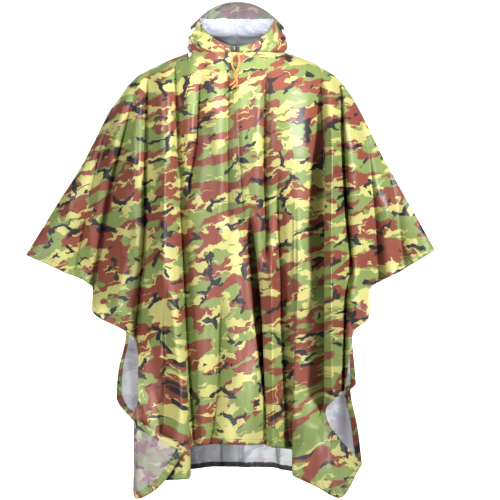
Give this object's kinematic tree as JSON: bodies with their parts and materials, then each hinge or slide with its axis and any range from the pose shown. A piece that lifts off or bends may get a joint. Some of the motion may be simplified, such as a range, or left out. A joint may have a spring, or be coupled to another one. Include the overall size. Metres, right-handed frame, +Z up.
{
  "type": "rain poncho",
  "caption": "Hooded rain poncho, worn: wide open-sided sheets hanging in folds from the shoulders, slack hood with a turned-up peak, drawcord at the throat.",
  "frame": {"origin": "at the base of the neck, on the centre line of the garment, at the height where the wearer's shoulders carry it", "axes": "+Z up, -Y towards the front, +X towards the wearer's left"},
  "size_m": [1.0646, 0.366, 1.2794],
  "materials": {
    "camouflage_cloth": "satin, coated inside in silver grey",
    "binding_tape": "matt",
    "cord_lock_plastic": "satin",
    "drawcord_braid": "matt braid"
  },
  "bodies": {
    "root": {"front_left": "camouflage_cloth", "front_right": "camouflage_cloth", "back": "camouflage_cloth", "hood_left": "camouflage_cloth", "hood_right": "camouflage_cloth", "hood_peak": "camouflage_cloth", "back_hem_binding": "binding_tape", "cord_lock": "cord_lock_plastic", "cord_lock_button": "cord_lock_plastic", "drawcord_left": "drawcord_braid", "drawcord_right": "drawcord_braid"}
  },
  "joints": []
}
